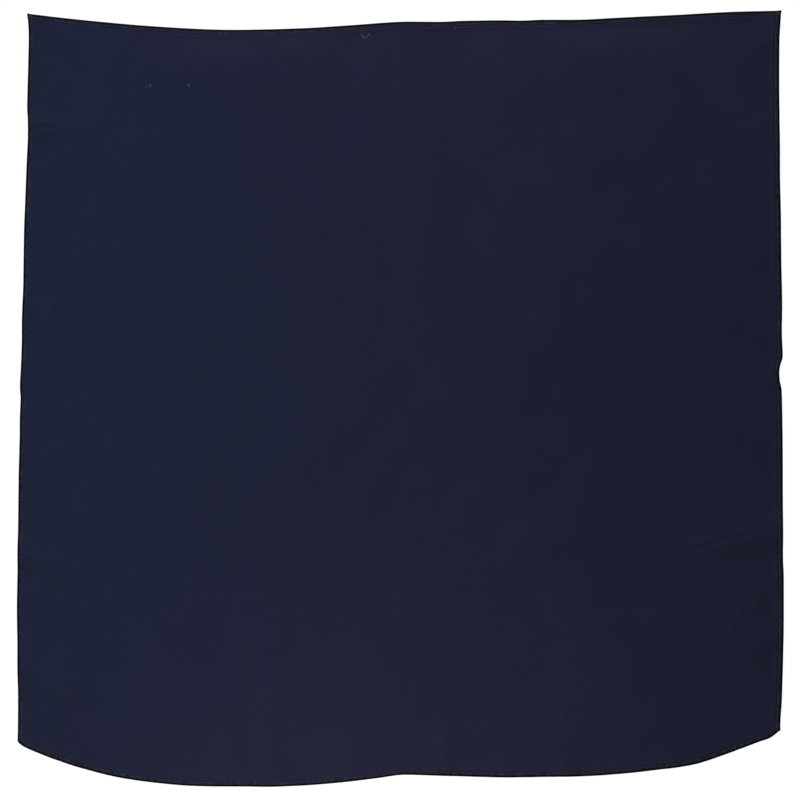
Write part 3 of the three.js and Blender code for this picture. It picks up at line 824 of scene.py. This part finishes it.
# Neps: small knots of undyed fibre in the cloth, each a light spot
Nep = namedtuple("Nep", "x y width length")
NEPS = [
    Nep(-0.1846, 0.2312, 0.0012, 0.0028),
    Nep(-0.1871, 0.2304, 0.0007, 0.0015),
    Nep(-0.1564, 0.2312, 0.0012, 0.0028),
    Nep(-0.0275, 0.2672, 0.0014, 0.0026),
    Nep(-0.0287, 0.2692, 0.0009, 0.0024),
    Nep(-0.0247, 0.2672, 0.0009, 0.0020),
    Nep(-0.0232, 0.2692, 0.0011, 0.0022),
    Nep(0.0406, 0.2736, 0.0012, 0.0014),
]
NEP_COLOUR = (0.072, 0.066, 0.100)
NEP_RISE = 2.0  # a nep covers the cloth fully from one part in this many of the way in


def nep_cover(tree, place):
    """How much of the cloth's colour the neps cover: 0 off them, and up to 1 in their middles."""
    cover = None
    for nep in NEPS:
        off = node(tree, "ShaderNodeVectorMath", operation="SUBTRACT")
        off.inputs[1].default_value = (nep.x, nep.y, 0)
        tree.links.new(place, off.inputs[0])
        share = node(tree, "ShaderNodeVectorMath", operation="MULTIPLY")
        share.inputs[1].default_value = (2 / nep.width, 2 / nep.length, 0)
        tree.links.new(off.outputs["Vector"], share.inputs[0])
        away = node(tree, "ShaderNodeVectorMath", operation="LENGTH")
        tree.links.new(share.outputs["Vector"], away.inputs[0])
        spot = maths(tree, "MAXIMUM", maths(tree, "SUBTRACT", 1.0, away.outputs["Value"]), 0.0)
        cover = spot if cover is None else maths(tree, "MAXIMUM", cover, spot)
    return maths(tree, "MINIMUM", times(tree, cover, NEP_RISE), 1.0)


# How much each noise lightens the cotton, how much the weave lightens the yarns' crowns against the
# painted shade in the gaps between them, and how much the slubs raise it
SLUB_SHARE = 0.55
MOTTLE_SHARE = 0.45
WEAVE_SHADE_SHARE = 0.16
SLUB_RELIEF = 1.1


def yarn_arches(tree, across):
    """A row of round arches, one for each yarn."""
    return maths(tree, "ABSOLUTE", maths(tree, "SINE", times(tree, across, math.pi)))


def cotton_material():
    """Navy plain weave: warp over weft by turns, with thick and thin places in the yarns."""
    material, shader = new_material("navy_cotton")
    tree = material.node_tree
    place = node(tree, "ShaderNodeTexCoord").outputs["Object"]
    split = node(tree, "ShaderNodeSeparateXYZ")
    tree.links.new(place, split.inputs[0])
    x = maths(tree, "DIVIDE", split.outputs["X"], YARN_PITCH)
    y = maths(tree, "DIVIDE", split.outputs["Y"], YARN_PITCH)
    cell = maths(tree, "ADD", maths(tree, "FLOOR", x), maths(tree, "FLOOR", y))
    warp_up = maths(tree, "PINGPONG", cell, 1.0)
    weft_up = maths(tree, "SUBTRACT", 1.0, warp_up)
    warp = maths(tree, "MULTIPLY", yarn_arches(tree, x), warp_up)
    weft = maths(tree, "MULTIPLY", yarn_arches(tree, y), weft_up)
    weave = maths(tree, "ADD", warp, weft)
    warp_slubs = streaks(tree, place, WARP_SLUBS)
    weft_slubs = streaks(tree, place, WEFT_SLUBS)
    slubs = times(tree, maths(tree, "ADD", warp_slubs, weft_slubs), 0.5)
    mottle = times(tree, streaks(tree, place, MOTTLE), MOTTLE_SHARE)
    worn = maths(tree, "ADD", times(tree, slubs, SLUB_SHARE), mottle)
    # The weave's gaps between yarns are coloured darker than their crowns: painted shade.
    shade = maths(tree, "ADD", worn, times(tree, weave, WEAVE_SHADE_SHARE))
    dyed = ramp(tree, shade, NAVY_DEEP, NAVY_WORN)
    knotted = node(tree, "ShaderNodeMix", data_type="RGBA")
    knotted.inputs["B"].default_value = (*NEP_COLOUR, 1)
    tree.links.new(nep_cover(tree, place), knotted.inputs["Factor"])
    tree.links.new(dyed, knotted.inputs["A"])
    relief = maths(tree, "ADD", weave, times(tree, slubs, SLUB_RELIEF))
    finish_fabric(tree, shader, COTTON_FINISH, knotted.outputs["Result"], slubs, relief)
    return material


# How much the thread's fibres and patches lighten it, and what is taken off so that the patches
# stand apart
FIBRE_SHARE = 0.4
PATCH_SHARE = 4.2
PATCH_FLOOR = 1.8


def thread_material(name, deep, light, finish):
    """Navy spun thread between a deep and a light colour, which carry painted highlight on the
    stitches and painted shade on the purl.
    """
    material, shader = new_material(name)
    tree = material.node_tree
    place = node(tree, "ShaderNodeTexCoord").outputs["Object"]
    fibres = streaks(tree, place, FIBRES)
    patches = times(tree, streaks(tree, place, PATCHES), PATCH_SHARE)
    worn = maths(tree, "ADD", times(tree, fibres, FIBRE_SHARE), patches)
    shade = maths(tree, "SUBTRACT", worn, PATCH_FLOOR)
    finish_fabric(tree, shader, finish, ramp(tree, shade, deep, light), fibres, fibres)
    return material


# The camera, floor and light

LENS = 200  # millimetres, long, as for a picture of flat goods
SENSOR = 36  # millimetres across
SIGHT_END = 50  # metres from the camera
FLOOR_SIDE = 6.0
PAPER_GREY = 0.10
PAPER_ROUGHNESS = 0.9
PAPER_SHINE = 0.1
PAPER_GLOW = 0.96  # which makes the paper come out white round the cloth
WHITE = (1, 1, 1, 1)
SURROUNDING_LIGHT = 0.33

# The lamps: round areas, each with its place, the point that it is aimed at, its diameter, its
# power and its colour.
Lamp = namedtuple("Lamp", "name place target size power colour")
LAMPS = [
    Lamp("key", (-0.72, 0.05, 0.60), (0.0, 0.0, 0.0), 0.35, 4.2, (0.30, 0.96, 0.99)),
    Lamp("sky", (-0.3, 2.4, 1.1), (0.0, 0.0, 0.0), 1.0, 25.0, (1.0, 0.96, 0.92)),
    Lamp("far", (0.0, 0.64, 0.33), (0.0, 0.1, 0.0), 0.3, 1.65, (1.0, 0.92, 0.88)),
    Lamp("near", (-0.07, -0.46, 0.30), (0.0, -0.1, 0.0), 0.3, 1.19, (1.0, 0.91, 0.79)),
]


def paper_material():
    """The white paper that the cloth lies on."""
    material, shader = new_material("white_paper")
    shader.inputs["Base Color"].default_value = (PAPER_GREY, PAPER_GREY, PAPER_GREY, 1)
    shader.inputs["Roughness"].default_value = PAPER_ROUGHNESS
    shader.inputs["Specular IOR Level"].default_value = PAPER_SHINE
    shader.inputs["Emission Color"].default_value = WHITE
    shader.inputs["Emission Strength"].default_value = PAPER_GLOW
    return material


def aim(thing, place, target):
    """Puts a camera or a lamp at a place and turns it to its target."""
    thing.location = place
    thing.rotation_euler = (Vector(target) - Vector(place)).to_track_quat("-Z", "Y").to_euler()


def make_camera():
    """Straight above, with a long lens, so that a picture's pixel is METRES_A_PIXEL."""
    data = bpy.data.cameras.new("camera")
    data.lens = LENS
    data.sensor_width = SENSOR
    data.clip_end = SIGHT_END
    camera = bpy.data.objects.new("camera", data)
    bpy.context.scene.collection.objects.link(camera)
    across = PICTURE_SIDE * METRES_A_PIXEL
    x = (PICTURE_SIDE / 2 - CENTRE_COLUMN) * METRES_A_PIXEL
    y = (CENTRE_ROW - PICTURE_SIDE / 2) * METRES_A_PIXEL
    camera.location = (x, y, across * LENS / SENSOR)
    bpy.context.scene.camera = camera


def make_lamp(lamp):
    """One lamp, from its row."""
    data = bpy.data.lights.new(lamp.name, "AREA")
    data.shape = "DISK"
    data.size = lamp.size
    data.energy = lamp.power
    data.color = lamp.colour
    light = bpy.data.objects.new(lamp.name, data)
    bpy.context.scene.collection.objects.link(light)
    aim(light, lamp.place, lamp.target)


def make_studio():
    """The paper, the lamps and the light all round."""
    scene = bpy.context.scene
    scene.view_settings.view_transform = "Standard"
    half = FLOOR_SIDE / 2
    points = half * np.array([(-1, -1, 0), (1, -1, 0), (1, 1, 0), (-1, 1, 0)])
    make_object("floor", points, [[0, 1, 2, 3]], paper_material())
    for lamp in LAMPS:
        make_lamp(lamp)
    world = bpy.data.worlds.new("studio")
    world.use_nodes = True
    background = world.node_tree.nodes["Background"]
    background.inputs["Color"].default_value = WHITE
    background.inputs["Strength"].default_value = SURROUNDING_LIGHT
    scene.world = world


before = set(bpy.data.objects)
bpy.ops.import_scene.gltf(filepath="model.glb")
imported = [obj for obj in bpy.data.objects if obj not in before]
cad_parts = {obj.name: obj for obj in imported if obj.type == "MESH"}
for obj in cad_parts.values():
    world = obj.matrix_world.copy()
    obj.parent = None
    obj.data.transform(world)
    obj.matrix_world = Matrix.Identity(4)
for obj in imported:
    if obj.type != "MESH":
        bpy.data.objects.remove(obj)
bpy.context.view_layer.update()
make_camera()
make_studio()

cotton = cotton_material()
# The stitches' thread is painted lighter than the cloth: painted highlight.
thread = thread_material("navy_thread", THREAD_LIT_DEEP, THREAD_LIT_LIGHT, THREAD_FINISH)
# The purl is painted near black: painted shade along the rim.
purl = thread_material("navy_purl_painted_shade", PURL_PAINTED_SHADE_DEEP, PURL_PAINTED_SHADE_LIGHT, PURL_FINISH)
cloth = make_cloth(cotton)
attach(cloth, "root")
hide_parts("cloth")

for side_name in ("top", "right", "bottom", "left"):
    edging = make_edging(side_name, thread, purl)
    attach(edging, "root")
    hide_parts(f"edging_{side_name}")
